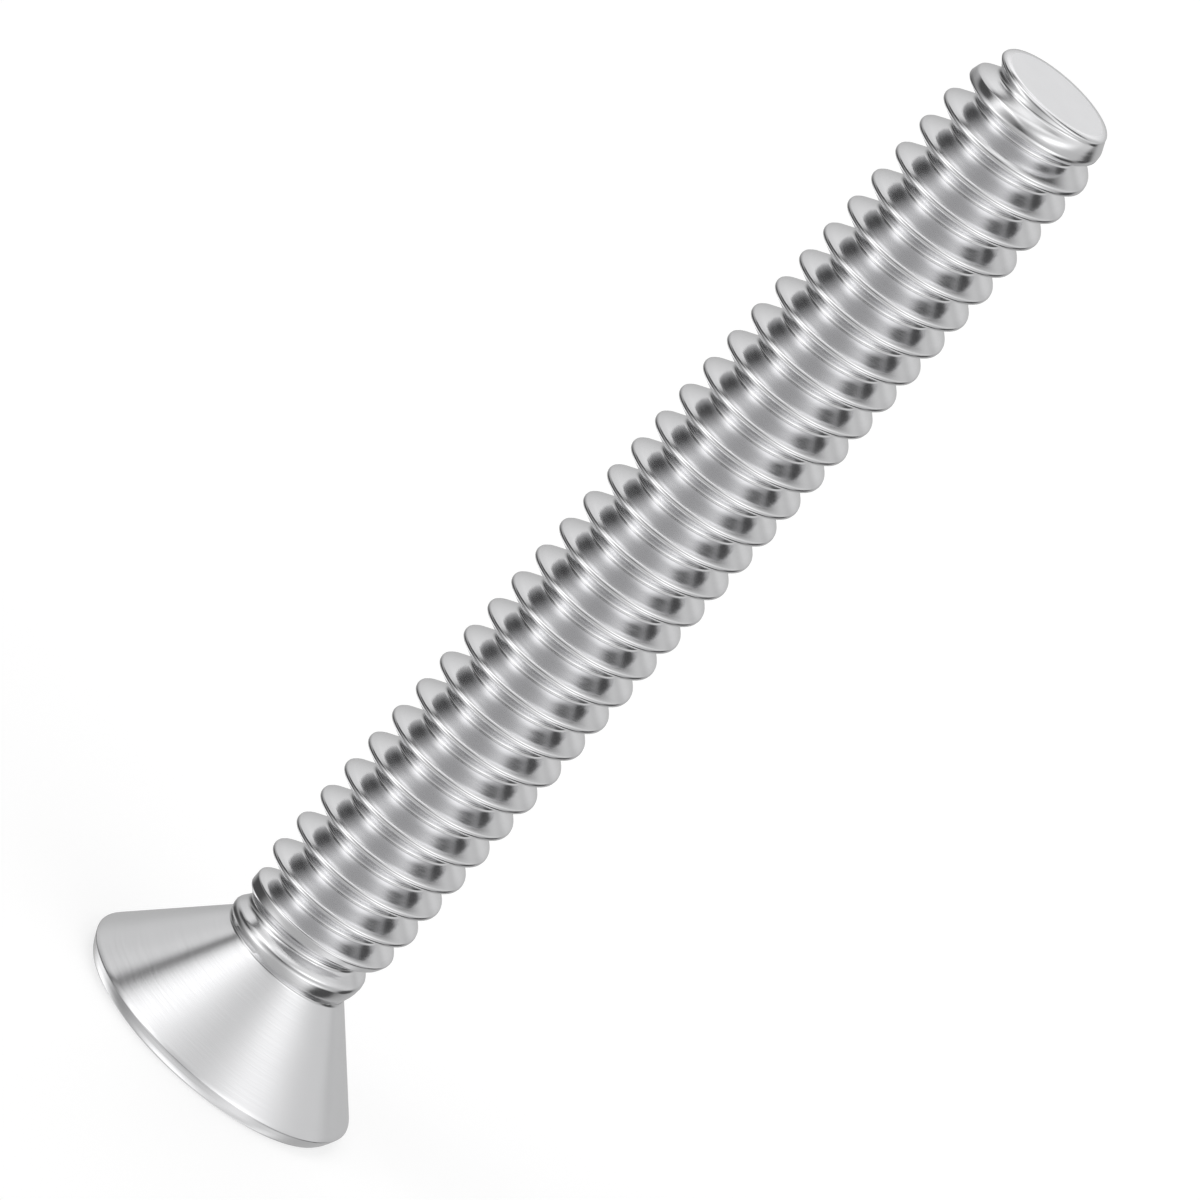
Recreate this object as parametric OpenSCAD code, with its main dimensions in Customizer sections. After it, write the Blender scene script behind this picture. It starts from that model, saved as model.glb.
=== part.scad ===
// Countersunk socket screw with a flat 82 degree head, a hexagon socket, a short plain neck
// and a right-hand thread over the rest of the shank. The real one is forged, turned and
// rolled from one length of wire, so it is one solid. It stands on its flat head: the origin
// is the centre of that face, and +Z runs up the shank to the tip. Sizes are in millimetres.

/* [Length] */
// Overall length, from the flat face of the head to the end of the tip
length = 37.3; // [16:0.1:60]

/* [Head] */
// Diameter of the head at its rim
head_d = 9.06; // [8.4:0.02:11]
// Included angle of the countersink
head_angle = 82; // [78:1:100]
// Height of the straight rim below the countersink
rim_h = 0.2; // [0.05:0.01:0.6]
// Height of the bevel between the rim and the flat face
edge_h = 0.23; // [0.1:0.01:0.4]
// Width that the bevel takes off the flat face, all round
edge_w = 0.16; // [0.05:0.01:0.3]

/* [Socket] */
// Width of the hexagon socket across its flats, which is the key size
hex_af = 3.175; // [2:0.005:3.4]
// Depth of the hexagon's corners below the flat face
hex_depth = 2.2; // [1.5:0.1:2.6]
// Diameter of the countersink turned at the socket's mouth
mouth_d = 3.8; // [2.5:0.05:4.4]
// Included angle of the socket's countersink
mouth_angle = 90; // [80:5:120]
// Included angle of the socket's conical bottom, which reaches out to the hexagon's corners
bottom_angle = 120; // [110:5:150]

/* [Neck] */
// Diameter of the plain neck, which is the wire before its thread is rolled
neck_d = 4.08; // [4:0.01:4.4]
// Height of the plain neck above the countersink
neck_h = 0.3; // [0.1:0.05:2]
// Radius of the fillet between the countersink and the neck
neck_fillet = 0.3; // [0.1:0.05:0.6]
// How far the half-formed first crests stand out of the neck
start_rise = 0.09; // [0.02:0.01:0.12]
// Height above the neck up to which they stay so low
start_low_h = 1; // [0.3:0.05:1.2]
// Height above the neck at which the crests are full
start_h = 1.7; // [1.4:0.1:4]

/* [Thread] */
// Diameter over the thread's crests
thread_d = 4.7; // [4.5:0.01:5.2]
// Distance from crest to crest along the axis, 24 to the inch
pitch = 1.0583; // [0.8:0.0001:1.27]
// Direction in which the crest runs out at the end face, counted from +X
start_angle = 171; // [0:1:359]

/* [Tip] */
// Diameter to which the tip is rounded at the end face, before its edge is broken
tip_d = 3.6; // [3.1:0.01:4]
// Height over which the tip is rounded from the crests to the end face
tip_h = 2.2; // [1:0.1:3]
// Width that the rounded edge takes off the end face, all round
tip_edge_w = 0.4; // [0.05:0.01:0.5]
// Height of that edge
tip_edge_h = 0.14; // [0.05:0.01:0.3]

/* [Hidden] */
// Round forms are true circles, and one turn of the helix takes this many steps
$fn = 96;
helix_steps = 32;
fillet_steps = 5;
tip_steps = 6;
edge_steps = 4;
// How far a cutting body runs past the surface that it opens
over = 0.05;

// Heights of the head and neck along the axis
head_r = head_d/2;
neck_r = neck_d/2;
cone_half = head_angle/2;
cone_top = edge_h + rim_h + (head_r - neck_r)/tan(cone_half);
neck_top = cone_top + neck_h;

// Unified thread form: a sharp V of 60 degrees whose crest is cut off an eighth of a pitch wide
flank = 30;
crest_r = thread_d/2;
vee_h = pitch/2/tan(flank);
core_r = crest_r - vee_h*17/24;
apex_r = crest_r + vee_h/8;
// The foot of the ridge lies inside the core, clear of the next turn's foot
foot_r = core_r - vee_h/12;
foot_half = (apex_r - foot_r)*tan(flank);

// Fillet of the neck, from the countersink up to the neck
function fillet_arc() =
    let (reach = neck_fillet*tan(cone_half/2))
    [for (i = [fillet_steps:-1:0])
        let (a = 180 + cone_half*i/fillet_steps)
        [neck_r + neck_fillet*(1 + cos(a)), cone_top + reach + neck_fillet*sin(a)]];

// Rounding of the tip: an arc tangent to the crests, then the broken edge of the end face
function tip_arc() =
    let (drop = crest_r - tip_d/2, round_r = (tip_h*tip_h + drop*drop)/(2*drop),
         arc_h = tip_h - tip_edge_h, face_r = tip_d/2 - tip_edge_w,
         edge_r = crest_r - round_r + sqrt(round_r*round_r - arc_h*arc_h))
    concat(
        [for (i = [0:tip_steps - 1])
            let (rise = arc_h*i/tip_steps)
            [crest_r - round_r + sqrt(round_r*round_r - rise*rise), length - tip_h + rise]],
        [for (i = [0:edge_steps])
            let (a = 90*i/edge_steps)
            [face_r + (edge_r - face_r)*cos(a), length - tip_edge_h*(1 - sin(a))]]);

// Everything that the thread's ridge may fill: it comes out of the neck, stays low for most of
// a turn, grows to the crests' diameter and follows the rounded tip
module crest_outline() {
    start_r = neck_r + start_rise;
    polygon(concat(
        [[0, neck_top - neck_h], [start_r - neck_h/2, neck_top - neck_h],
         [start_r, neck_top], [start_r, neck_top + start_low_h],
         [crest_r, neck_top + start_h]],
        tip_arc(),
        [[0, length]]));
}

// Head, neck and core as one turned outline; the thread's groove runs out in the shoulder
// between the neck and the core
module core_outline() {
    intersection() {
        polygon(concat(
            [[0, 0], [head_r - edge_w, 0], [head_r, edge_h], [head_r, edge_h + rim_h]],
            fillet_arc(),
            [[neck_r, neck_top], [core_r, neck_top + neck_r - core_r],
             [core_r, length], [0, length]]));
        union() {
            crest_outline();
            square([head_r + over, length - tip_h]);
        }
    }
}

// One V-shaped ridge wound up the shank, from inside the head to past the end face
module ridge() {
    foot = [[foot_r, -foot_half], [apex_r, 0], [foot_r, foot_half]];
    turns = (length - cone_top + foot_half)/pitch + 1;
    rings = ceil(turns*helix_steps);
    points = [for (i = [0:rings])
        let (turn = i/helix_steps - turns + 1, a = start_angle + 360*turn)
        for (p = foot) [p.x*cos(a), p.x*sin(a), length + turn*pitch + p.y]];
    sides = [for (i = [0:rings - 1], k = [0:2])
        let (a = 3*i + k, b = 3*i + (k + 1)%3)
        for (face = [[a, b, b + 3], [a, b + 3, a + 3]]) face];
    ends = [[2, 1, 0], [3*rings, 3*rings + 1, 3*rings + 2]];
    polyhedron(points = points, faces = concat(ends, sides), convexity = 10);
}

// Pressed hexagon with its conical bottom, and the turned countersink at its mouth
module socket() {
    corner_r = hex_af/2/cos(30);
    bottom_slope = tan(bottom_angle/2);
    mouth_r = mouth_d/2;
    mouth_slope = tan(mouth_angle/2);
    intersection() {
        translate([0, 0, -over])
            cylinder(r = corner_r, h = hex_depth + corner_r, $fn = 6);
        rotate_extrude()
            polygon([[0, -over], [corner_r + over, -over],
                     [corner_r + over, hex_depth - over/bottom_slope],
                     [0, hex_depth + corner_r/bottom_slope]]);
    }
    translate([0, 0, -over])
        cylinder(r1 = mouth_r + over*mouth_slope, r2 = 0, h = over + mouth_r/mouth_slope);
}

module screw() {
    color([0.78, 0.78, 0.79])
    difference() {
        union() {
            rotate_extrude() core_outline();
            intersection() {
                ridge();
                rotate_extrude() crest_outline();
            }
        }
        rotate(30) socket();
    }
}

screw();
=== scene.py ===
import math

import bpy
from mathutils import Euler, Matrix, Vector


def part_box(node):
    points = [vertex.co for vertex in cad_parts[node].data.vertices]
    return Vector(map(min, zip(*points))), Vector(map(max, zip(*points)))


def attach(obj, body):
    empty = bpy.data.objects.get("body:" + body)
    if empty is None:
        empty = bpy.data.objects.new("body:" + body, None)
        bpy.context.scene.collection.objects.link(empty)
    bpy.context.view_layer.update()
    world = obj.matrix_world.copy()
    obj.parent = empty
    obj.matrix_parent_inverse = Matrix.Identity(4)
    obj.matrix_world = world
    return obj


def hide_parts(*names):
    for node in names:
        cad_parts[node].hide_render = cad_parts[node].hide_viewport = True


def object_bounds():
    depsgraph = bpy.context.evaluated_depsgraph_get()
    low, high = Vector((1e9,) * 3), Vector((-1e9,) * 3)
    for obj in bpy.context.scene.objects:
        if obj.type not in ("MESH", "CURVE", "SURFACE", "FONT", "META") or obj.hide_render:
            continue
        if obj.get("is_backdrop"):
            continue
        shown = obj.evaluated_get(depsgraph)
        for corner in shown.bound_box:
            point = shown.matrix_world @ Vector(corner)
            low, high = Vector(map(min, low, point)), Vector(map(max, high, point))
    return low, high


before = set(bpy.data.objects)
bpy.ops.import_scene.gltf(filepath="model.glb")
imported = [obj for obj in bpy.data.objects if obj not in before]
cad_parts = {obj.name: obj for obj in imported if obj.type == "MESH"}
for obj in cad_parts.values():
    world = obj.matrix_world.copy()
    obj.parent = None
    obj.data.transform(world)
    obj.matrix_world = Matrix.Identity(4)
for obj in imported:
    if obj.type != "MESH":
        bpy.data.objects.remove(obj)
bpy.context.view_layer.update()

# Sizes are in millimetres until a vertex is written. The overall ones are read from the packed
# model. The others are those of the part's source, or a few hundredths closer to the photograph.
MM = 0.001
low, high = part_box("screw")
LENGTH = (high.z - low.z)/MM
HEAD_R = (high.x - low.x)/2/MM

# Head
CONE_HALF = math.radians(41)
EDGE_H = 0.23
RIM_H = 0.2
RIM_TOP = EDGE_H + RIM_H
# The rim's corner is sharp, and below it the edge falls off in two facets. They are given as
# the distance inside the rim and the share of the rim's height.
RIM_EDGE = [(0.16, 0.2), (0.095, 0.48), (0.07, 0.6), (0.035, 0.8), (0.004, 0.95), (0, 0.985)]
RIM_BREAK = 0.012
# The flat face ends at this distance inside the rim, in a narrow rounding
FACE_INSET = 0.23
FACE_ROUNDING_IN = 0.02
FACE_ROUNDING_OUT = 0.015

# Socket: its hexagon, countersunk mouth and conical bottom, with tiny broken edges
HEX_AF = 3.175
HEX_DEPTH = 2.2
HEX_CORNER_R = HEX_AF/2/math.cos(math.radians(30))
HEX_CORNER_ROUNDING = 0.03
MOUTH_R = 1.9
BOTTOM_SLOPE = math.tan(math.radians(60))
APEX_Z = HEX_DEPTH + HEX_CORNER_R/BOTTOM_SLOPE
BREAK = 0.03

# Neck, and the low first crests that come out of it
NECK_R = 2.03
NECK_H = 0.3
NECK_FILLET = 0.13
CONE_TOP = RIM_TOP + (HEAD_R - NECK_R)/math.tan(CONE_HALF)
NECK_TOP = CONE_TOP + NECK_H
START_RISE = 0.12
START_RISE_H = 0.2
START_LOW_H = 1.0
START_H = 1.7

# Thread of the unified form: flanks of 30 degrees, a rounded root and rounded crest corners
CREST_R = 2.35
PITCH = 1.0583
START_ANGLE = 171
FLANK_SLOPE = math.sqrt(3)
VEE_H = PITCH*FLANK_SLOPE/2
SHARP_ROOT = CREST_R + VEE_H/8 - VEE_H
ROOT_RADIUS = VEE_H/8
ROOT_HALF_WIDTH = ROOT_RADIUS*math.sin(math.radians(60))
CORE_R = SHARP_ROOT + ROOT_RADIUS
CORNER_RADIUS = 0.09
END_CORNER_RADIUS = 0.4
LEAST_CORNER = 0.1
# A rounding takes at most this share of the room beside it
ROOM_SHARE = 0.9

# Ranges of the root's or crest's height above the neck: where the groove gets its full depth,
# where its gentler side towards the neck gets its full slope, and where crests stop being blunt
GROOVE_FROM_NECK = (-0.6, 1.3)
LOW_SIDE = 0.85
LOW_SIDE_FROM_NECK = (1.0, 1.5)
BLUNT_FROM_NECK = (0.45, 0.9)
# Ranges of its depth below the end face: where the groove is full, and where the side of the
# thin lip gets a part and then all of its slope. Crests are blunt in the last of them too.
GROOVE_FROM_END = (0.02, 0.22)
LIP_SIDE = 0.45
LIP_FROM_END = (0.2, 0.5)
FULL_FROM_END = (0.6, 0.95)

# Tip: its rounding, and an end face that is slightly oval, with a broken edge. That edge is
# given as the share of its width and the depth below the end.
TIP_R = 1.8
TIP_H = 2.2
END_FACE_R = 1.5
END_FACE_OVAL = 0.14
LEAST_EDGE = 0.1
TIP_EDGE = [(1, 0.16), (0.98, 0.12), (0.93, 0.085), (0.82, 0.055), (0.45, 0.022), (0, 0)]

# The thread's ribbon runs between these heights, and joins their rings where it comes this close
THREAD_TOP = LENGTH - TIP_EDGE[0][1]
THREAD_FOOT = CONE_TOP + NECK_FILLET*math.tan(CONE_HALF/2)
CLOSE = 0.004

# How finely the mesh is cut: columns round the axis, steps from a root to a crest, steps of the
# neck's fillet, and halvings in the search for a crest's corner
COLUMNS = 96
ROOT_STEPS = 5
FLANK_STEPS = 4
CORNER_STEPS = 2
FILLET_STEPS = 8
HALVINGS = 30


def smooth_step(x, start, end):
    t = min(1.0, max(0.0, (x - start)/(end - start)))
    return t*t*(3 - 2*t)


def from_neck(z, reach):
    """How far a height has come through a range above the neck, from 0 to 1."""
    return smooth_step(z, NECK_TOP + reach[0], NECK_TOP + reach[1])


def from_end(z, reach):
    """How far a height has come through a range below the end face, from 0 to 1."""
    return smooth_step(LENGTH - z, *reach)


def envelope(z):
    """The radius that the crests reach: it grows out of the neck and follows the rounded tip."""
    out = START_RISE*(1 - math.exp(-max(0.0, z - CONE_TOP)/START_RISE_H))
    growth = CREST_R - NECK_R - START_RISE
    grown = NECK_R + out + growth*from_neck(z, (START_LOW_H, START_H))
    drop = CREST_R - TIP_R
    arc = (TIP_H*TIP_H + drop*drop)/(2*drop)
    rise = min(TIP_H, max(0.0, TIP_H - LENGTH + z))
    return min(grown, CREST_R - arc + math.sqrt(arc*arc - rise*rise))


def groove(rise):
    """Radius of the groove at a distance along the axis from the middle of its root."""
    if rise < ROOT_HALF_WIDTH:
        return CORE_R + ROOT_RADIUS - math.sqrt(ROOT_RADIUS**2 - rise**2)
    return SHARP_ROOT + rise*FLANK_SLOPE


def groove_share(root_z):
    """How deep the groove is: it runs out in the neck and as its root comes up to the end face."""
    return from_end(root_z, GROOVE_FROM_END)*from_neck(root_z, GROOVE_FROM_NECK)


def cut_radius(z, root_z):
    """Radius that the groove cuts. Its side towards the neck is gentler where it runs out there,
    and so is its side towards the tip where only a thin lip is left of the end face."""
    if z < root_z:
        steepness = LOW_SIDE + (1 - LOW_SIDE)*from_neck(root_z, LOW_SIDE_FROM_NECK)
        return groove((root_z - z)*steepness)
    lip = (LIP_SIDE*from_end(root_z, LIP_FROM_END)
           + (1 - LIP_SIDE)*from_end(root_z, FULL_FROM_END))
    return CORE_R + (groove(z - root_z) - CORE_R)*lip


def surface(z, root_z):
    """Radius of the finished thread, beside the groove whose root is at root_z."""
    crest = envelope(z)
    cut = min(crest, cut_radius(z, root_z))
    return crest - (crest - cut)*groove_share(root_z)


def half_profile(root_z, way):
    """Points from a root to the crest above (way 1) or below it (way -1), as (z, radius)."""
    def point(rise):
        z = root_z + way*rise
        return z, surface(z, root_z)

    # The crest's corner is where the groove meets the envelope
    start, corner = 0.0, PITCH/2
    for _ in range(HALVINGS):
        middle = (start + corner)/2
        if cut_radius(root_z + way*middle, root_z) < envelope(root_z + way*middle):
            start = middle
        else:
            corner = middle
    corner = max(corner, LEAST_CORNER)
    root_end = min(ROOT_HALF_WIDTH, corner/2)

    # It is rounded, more so on the half-formed first turn and near the end face
    crest_z = root_z + way*PITCH/2
    blunt = 1 - from_end(crest_z, FULL_FROM_END)*from_neck(crest_z, BLUNT_FROM_NECK)
    radius = CORNER_RADIUS + (END_CORNER_RADIUS - CORNER_RADIUS)*blunt
    cut = min(radius*math.tan(math.radians(30)), (corner - root_end)*ROOM_SHARE,
              (PITCH/2 - corner)*ROOM_SHARE)
    flank_end = corner - cut/2
    rises = [root_end*i/ROOT_STEPS for i in range(ROOT_STEPS)]
    rises += [root_end + (flank_end - root_end)*i/FLANK_STEPS for i in range(FLANK_STEPS)]
    points = [point(rise) for rise in rises]
    begin, peak, end = point(flank_end), point(corner), point(corner + cut)
    for i in range(CORNER_STEPS + 1):
        t = i/CORNER_STEPS
        points.append(tuple((1 - t)**2*a + 2*t*(1 - t)*b + t*t*c
                            for a, b, c in zip(begin, peak, end)))
    points.append(point(PITCH/2))
    return points


def wound_profile(turn):
    """One pitch of the thread, from root to root, round the crest at that turn of the helix."""
    crest_z = LENGTH + PITCH*(turn - START_ANGLE/360)
    below = half_profile(crest_z - PITCH/2, 1)
    above = half_profile(crest_z + PITCH/2, -1)
    return below + above[-2::-1]


def top_radius(column):
    """Radius where the thread meets the broken edge of the end face."""
    crest_z = LENGTH + PITCH*(column/COLUMNS - START_ANGLE/360)
    root_z = crest_z + PITCH/2 + PITCH*round((THREAD_TOP - crest_z - PITCH/2)/PITCH)
    return surface(THREAD_TOP, root_z)


def face_radius(column):
    """Radius of the flat end face, which reaches further out along X."""
    side = math.cos(2*math.pi*column/COLUMNS)
    return min(END_FACE_R + END_FACE_OVAL*side*side, top_radius(column) - LEAST_EDGE)


def hexagon(column):
    """Radius of the hexagon, with a corner on +Y and slightly rounded corners."""
    turn = (column*360/COLUMNS - 30) % 60 - 30
    radius = HEX_AF/2/math.cos(math.radians(turn))
    return min(radius, HEX_CORNER_R - HEX_CORNER_ROUNDING)


def bottom_z(radius):
    """Height of the socket's conical bottom."""
    return APEX_Z - radius/BOTTOM_SLOPE


vertices, faces, finishes = [], [], []
ROLLED, TURNED, CUT, PRESSED = range(4)


def place(column, radius, z):
    """Add a vertex, and return its number."""
    angle = 2*math.pi*column/COLUMNS
    vertices.append((radius*math.cos(angle)*MM, radius*math.sin(angle)*MM, z*MM))
    return len(vertices) - 1


def ring(radius, z):
    """A closed ring of vertices; radius and z may be functions of the column."""
    radius_at = radius if callable(radius) else lambda column: radius
    z_at = z if callable(z) else lambda column: z
    return [place(column, radius_at(column), z_at(column)) for column in range(COLUMNS)]


def face(corners, finish):
    """Add a face, without the corners that fall together."""
    kept = [c for i, c in enumerate(corners) if c != corners[i - 1]]
    if len(set(kept)) > 2:
        faces.append(kept)
        finishes.append(finish)


def skin(rings, finish):
    """Faces from each ring to the next."""
    for inner, outer in zip(rings, rings[1:]):
        for i in range(COLUMNS):
            j = (i + 1) % COLUMNS
            face([inner[i], inner[j], outer[j], outer[i]], finish)


# The thread is one ribbon wound up the shank, closed against a ring at each end
foot_ring = ring(NECK_R, THREAD_FOOT)
top_ring = ring(top_radius, THREAD_TOP)
first = math.floor(COLUMNS*((THREAD_FOOT - PITCH/2 - LENGTH)/PITCH + START_ANGLE/360)) - 1
last = math.ceil(COLUMNS*((THREAD_TOP + PITCH/2 - LENGTH)/PITCH + START_ANGLE/360)) + 1
ribbon = {}
for step in range(first, last + COLUMNS + 1):
    column = step % COLUMNS
    line = []
    for z, radius in wound_profile(step/COLUMNS)[:-1]:
        if z > THREAD_TOP - CLOSE:
            line.append(top_ring[column])
        elif z < THREAD_FOOT + CLOSE:
            line.append(foot_ring[column])
        else:
            line.append(place(column, radius, z))
    ribbon[step] = line
for step in range(first, last):
    here = ribbon[step] + ribbon[step + COLUMNS][:1]
    beside = ribbon[step + 1] + ribbon[step + 1 + COLUMNS][:1]
    for i in range(len(here) - 1):
        face([here[i], beside[i], beside[i + 1], here[i + 1]], ROLLED)

# End face: its broken edge, then the flat
edge = [top_ring]
for share, depth in TIP_EDGE[1:]:
    edge.append(ring(lambda c: face_radius(c) + (top_radius(c) - face_radius(c))*share,
                     LENGTH - depth))
skin(edge, ROLLED)
flat = [edge[-1]]
for share in (0.97, 0.8, 0.55, 0.3):
    flat.append(ring(lambda c: face_radius(c)*share, LENGTH))
skin(flat, CUT)
centre = place(0, 0, LENGTH)
for i in range(COLUMNS):
    face([flat[-1][i], flat[-1][(i + 1) % COLUMNS], centre], CUT)

# Socket, from the middle of its bottom to the mouth
apex = place(0, 0, APEX_Z)
bottom = []
for share in (0.06, 0.25, 0.5, 0.75, 0.93):
    bottom.append(ring(lambda c: hexagon(c)*share, lambda c: bottom_z(hexagon(c)*share)))
bottom.append(ring(lambda c: hexagon(c) - BREAK, lambda c: bottom_z(hexagon(c) - BREAK)))
bottom.append(ring(hexagon, lambda c: bottom_z(hexagon(c)) - BREAK))
for i in range(COLUMNS):
    face([apex, bottom[0][(i + 1) % COLUMNS], bottom[0][i]], PRESSED)
skin(bottom, PRESSED)
wall = [bottom[-1]]
for share in (0.25, 0.5, 0.75):
    wall.append(ring(hexagon, lambda c: (1 - share)*(bottom_z(hexagon(c)) - BREAK)
                     + share*(MOUTH_R - hexagon(c) + BREAK)))
wall.append(ring(hexagon, lambda c: MOUTH_R - hexagon(c) + BREAK/2))
skin(wall, PRESSED)

# Head: countersunk mouth, flat face, bevelled edge, countersink and the neck's fillet
mouth = [wall[-1],
         ring(lambda c: hexagon(c) + BREAK/2, lambda c: MOUTH_R - hexagon(c) - BREAK/2),
         ring(lambda c: (hexagon(c) + MOUTH_R)/2, lambda c: MOUTH_R - (hexagon(c) + MOUTH_R)/2),
         ring(MOUTH_R - BREAK*0.7, BREAK*0.7),
         ring(MOUTH_R + BREAK*0.3, 0)]
skin(mouth, TURNED)
face_edge = HEAD_R - FACE_INSET
head = [mouth[-1]]
for share in (0.03, 0.25, 0.5, 0.75, 0.97):
    head.append(ring(MOUTH_R + (face_edge - MOUTH_R)*share, 0))
head.append(ring(face_edge - FACE_ROUNDING_IN, 0))
head.append(ring(face_edge + FACE_ROUNDING_OUT, FACE_ROUNDING_OUT))
for inset, share in RIM_EDGE:
    head.append(ring(HEAD_R - inset, RIM_TOP*share))
cone_tan = math.tan(CONE_HALF)
head.append(ring(HEAD_R - RIM_BREAK*cone_tan, RIM_TOP + RIM_BREAK))
fillet_foot = CONE_TOP - NECK_FILLET*math.tan(CONE_HALF/2)*math.cos(CONE_HALF)
for share in (0.04, 0.25, 0.5, 0.75, 0.96):
    rise = (fillet_foot - RIM_TOP)*share
    head.append(ring(HEAD_R - rise*cone_tan, RIM_TOP + rise))
for i in range(FILLET_STEPS):
    angle = math.pi + CONE_HALF*(1 - i/FILLET_STEPS)
    head.append(ring(NECK_R + NECK_FILLET*(1 + math.cos(angle)),
                     THREAD_FOOT + NECK_FILLET*math.sin(angle)))
head.append(foot_ring)
skin(head, TURNED)

mesh = bpy.data.meshes.new("screw_steel")
mesh.from_pydata(vertices, [], faces)
mesh.polygons.foreach_set("material_index", finishes)
mesh.polygons.foreach_set("use_smooth", [True]*len(faces))
mesh.update()
screw = bpy.data.objects.new("screw_steel", mesh)
bpy.context.collection.objects.link(screw)
weighted = screw.modifiers.new("weighted_normals", "WEIGHTED_NORMAL")
weighted.mode = "FACE_AREA"
weighted.keep_sharp = True
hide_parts("screw")
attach(screw, "root")


class Nodes:
    """A short way to build a node tree. An input is named, with _ for a space, or numbered,
    so that i3 is the fourth one."""

    def __init__(self, tree):
        self.tree = tree
        self.tree.nodes.clear()

    def add(self, kind, settings=None, **inputs):
        node = self.tree.nodes.new(kind)
        for name, value in (settings or {}).items():
            setattr(node, name, value)
        for name, value in inputs.items():
            numbered = name[0] == "i" and name[1:].isdigit()
            socket = node.inputs[int(name[1:]) if numbered else name.replace("_", " ")]
            if isinstance(value, bpy.types.NodeSocket):
                self.tree.links.new(value, socket)
            else:
                socket.default_value = value
        return node

    def maths(self, operation, *values):
        node = self.add("ShaderNodeMath", {"operation": operation},
                        **{f"i{i}": v for i, v in enumerate(values)})
        return node.outputs[0]

    def dot(self, a, b):
        node = self.add("ShaderNodeVectorMath", {"operation": "DOT_PRODUCT"}, i0=a, i1=b)
        return node.outputs["Value"]


# The steel's own colour varies a little between these two
DULL = (0.74, 0.74, 0.75, 1)
BRIGHT = (0.78, 0.78, 0.79, 1)
MARKS_PER_METRE = 1000.0
PATCHES_PER_METRE = 900.0
MARK_DEPTH = 0.00002
QUARTER_TURN = 0.25


def steel(name, grain, roughness, spread, bump, anisotropic=0.0):
    """Bright satin steel. grain stretches the marks of the tool along X, Y and Z."""
    material = bpy.data.materials.new(name)
    material.use_nodes = True
    nodes = Nodes(material.node_tree)
    place_on = nodes.add("ShaderNodeTexCoord").outputs["Object"]
    stretched = nodes.add("ShaderNodeMapping", Vector=place_on, Scale=grain).outputs[0]
    marks = nodes.add("ShaderNodeTexNoise", Vector=stretched, Scale=MARKS_PER_METRE, Detail=4.0,
                      Roughness=0.6).outputs[0]
    patches = nodes.add("ShaderNodeTexNoise", Vector=place_on, Scale=PATCHES_PER_METRE,
                        Detail=2.0).outputs[0]
    rough = nodes.add("ShaderNodeMapRange", Value=marks, i3=roughness - spread,
                      i4=roughness + spread).outputs[0]
    tone = nodes.add("ShaderNodeMix", {"data_type": "RGBA"}, i0=patches, i6=DULL,
                     i7=BRIGHT).outputs[2]
    relief = nodes.add("ShaderNodeBump", Height=marks, Strength=bump,
                       Distance=MARK_DEPTH).outputs[0]
    shader = nodes.add("ShaderNodeBsdfPrincipled", Base_Color=tone, Metallic=1.0,
                       Roughness=rough, Normal=relief, Anisotropic=anisotropic)
    if anisotropic:
        shader.inputs["Anisotropic Rotation"].default_value = QUARTER_TURN
        tangent = nodes.add("ShaderNodeTangent", {"direction_type": "RADIAL", "axis": "Z"})
        nodes.tree.links.new(tangent.outputs[0], shader.inputs["Tangent"])
    nodes.add("ShaderNodeOutputMaterial", Surface=shader.outputs[0])
    return material


# In the order of ROLLED, TURNED, CUT and PRESSED
mesh.materials.append(steel("rolled_steel", (0.6, 0.6, 9), 0.16, 0.04, 0.15))
mesh.materials.append(steel("turned_steel", (0.4, 0.4, 14), 0.2, 0.04, 0.1, 0.5))
mesh.materials.append(steel("cut_steel", (2, 2, 2), 0.4, 0.05, 0.1))
mesh.materials.append(steel("pressed_steel", (4, 4, 0.5), 0.25, 0.05, 0.15))


# Floor: it takes the soft shadow, and shows white where it is open to the light. The polished
# steel reflects the studio round it instead of the floor. Sizes are in metres from here on.
WHITE = (1, 1, 1, 1)
FLOOR_HALF = 3.0
FLOOR_Z = -0.00001
FLOOR_GLOW = 0.6
FLOOR_COLOUR = (0.5, 0.5, 0.5, 1)
floor_mesh = bpy.data.meshes.new("floor")
floor_corners = [(x*FLOOR_HALF, y*FLOOR_HALF, FLOOR_Z)
                 for x, y in ((-1, -1), (1, -1), (1, 1), (-1, 1))]
floor_mesh.from_pydata(floor_corners, [], [(0, 1, 2, 3)])
floor = bpy.data.objects.new("floor", floor_mesh)
bpy.context.collection.objects.link(floor)
floor.visible_glossy = False
floor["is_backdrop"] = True
pale = bpy.data.materials.new("pale_floor")
pale.use_nodes = True
nodes = Nodes(pale.node_tree)
seen = nodes.add("ShaderNodeLightPath").outputs["Is Camera Ray"]
glow = nodes.add("ShaderNodeEmission", Color=WHITE,
                 Strength=nodes.maths("MULTIPLY", seen, FLOOR_GLOW))
matte = nodes.add("ShaderNodeBsdfDiffuse", Color=FLOOR_COLOUR)
both = nodes.add("ShaderNodeAddShader", i0=glow.outputs[0], i1=matte.outputs[0])
nodes.add("ShaderNodeOutputMaterial", Surface=both.outputs[0])
floor_mesh.materials.append(pale)

# Studio: large soft boxes painted on the world by direction. Azimuth is counted from the
# camera's side (-Y) towards +X, elevation from the horizon, both in degrees.
world = bpy.data.worlds.new("studio")
bpy.context.scene.world = world
world.use_nodes = True
nodes = Nodes(world.node_tree)
direction = nodes.add("ShaderNodeTexCoord").outputs["Generated"]


def compass(azimuth, elevation):
    a, e = math.radians(azimuth), math.radians(elevation)
    return Vector((math.sin(a)*math.cos(e), -math.cos(a)*math.cos(e), math.sin(e)))


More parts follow.
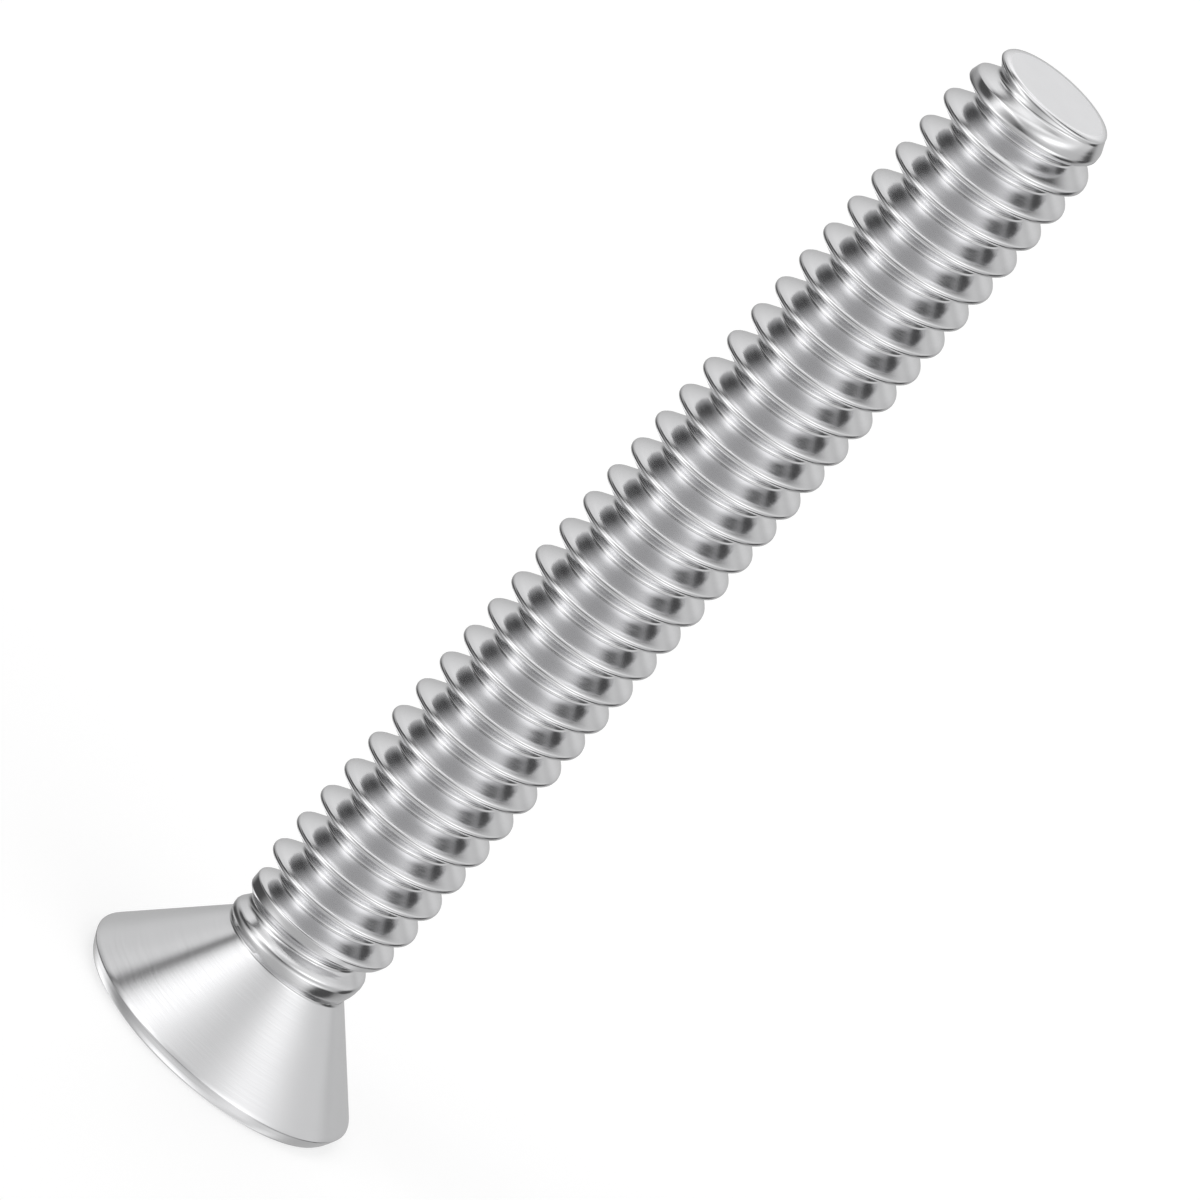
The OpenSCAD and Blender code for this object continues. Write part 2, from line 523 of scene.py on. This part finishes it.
def soft_box(azimuth, elevation, half_width, half_height, strength):
    """A soft-edged bright or dark patch, with its half sizes in degrees."""
    middle = compass(azimuth, elevation)
    across = compass(azimuth + 90, 0)
    up = middle.cross(across)*-1
    x = nodes.maths("DIVIDE", nodes.dot(direction, across), math.sin(math.radians(half_width)))
    y = nodes.maths("DIVIDE", nodes.dot(direction, up), math.sin(math.radians(half_height)))
    spread = nodes.maths("ADD", nodes.maths("MULTIPLY", x, x), nodes.maths("MULTIPLY", y, y))
    fall = nodes.maths("EXPONENT", nodes.maths("MULTIPLY", spread, -1.0))
    front = nodes.maths("MAXIMUM", nodes.dot(direction, middle), 0.0)
    return nodes.maths("MULTIPLY", nodes.maths("MULTIPLY", fall, front), strength)


# The light between the boxes, and the least that the dark ones leave
AMBIENT = 0.49
DARKEST = 0.08
# Each box: azimuth, elevation, half width, half height, strength
BOXES = [
    (31, 82, 60, 14, 0.55),
    (-61, 47, 60, 7, 0.8),
    (49, 42, 31, 15, 1.2),
    (-60, 23, 13, 32, 0.8),
    (48, -14, 32, 18, 1.2),
    (-49, -18, 20, 18, 1.3),
    (-3, 21, 22, 16, -0.55),
    (-97, 12, 22, 9, -1.6),
    (-123, -33, 29, 21, -1.1),
    (85, -32, 18, 15, -1.35),
    (118, -4, 13, 12, -1.1),
    (180, 56, 33, 39, 1.25),
    (143, 65, 15, 21, -1.6),
    (-68, -83, 14, 16, 1.25),
    (74, -53, 20, 25, 0.65),
    (-144, 53, 60, 7, -0.8),
    (-135, -41, 23, 12, 1.6),
    (155, -57, 38, 8, 0.65),
    (-99, 39, 3, 20, -0.8),
    (-120, 12, 32, 13, 0.16),
    (122, 14, 20, 12, 0.2),
]
light = AMBIENT
for box in BOXES:
    light = nodes.maths("ADD", light, soft_box(*box))
light = nodes.maths("MAXIMUM", light, DARKEST)
camera_sees = nodes.add("ShaderNodeLightPath").outputs["Is Camera Ray"]
studio = nodes.add("ShaderNodeBackground", Color=WHITE, Strength=light)
plain = nodes.add("ShaderNodeBackground", Color=WHITE, Strength=1.0)
chosen = nodes.add("ShaderNodeMixShader", i0=camera_sees, i1=studio.outputs[0],
                   i2=plain.outputs[0])
nodes.add("ShaderNodeOutputWorld", Surface=chosen.outputs[0])

# Camera: the photograph looks down on the standing screw by 19.3 degrees and is turned so that
# the tip points to the upper right. A very long lens keeps its sides parallel.
ELEVATION = 19.3
ROLL = 41.8
DISTANCE = 1.5
VIEW_WIDTH = 0.033389
TARGET = Vector((-0.0001, 0, 0.017295))
SENSOR_WIDTH = 36
camera_data = bpy.data.cameras.new("camera")
camera_data.sensor_width = SENSOR_WIDTH
camera_data.lens = SENSOR_WIDTH*DISTANCE/VIEW_WIDTH
camera_data.clip_start = 0.05
camera_data.clip_end = 20
camera = bpy.data.objects.new("camera", camera_data)
bpy.context.collection.objects.link(camera)
camera.location = TARGET + compass(0, ELEVATION)*DISTANCE
base = Euler((math.radians(90 - ELEVATION), 0, 0)).to_matrix()
camera.rotation_euler = (base @ Euler((0, 0, math.radians(ROLL))).to_matrix()).to_euler()
bpy.context.scene.camera = camera

bpy.context.scene.view_settings.view_transform = "Standard"

low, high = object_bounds()
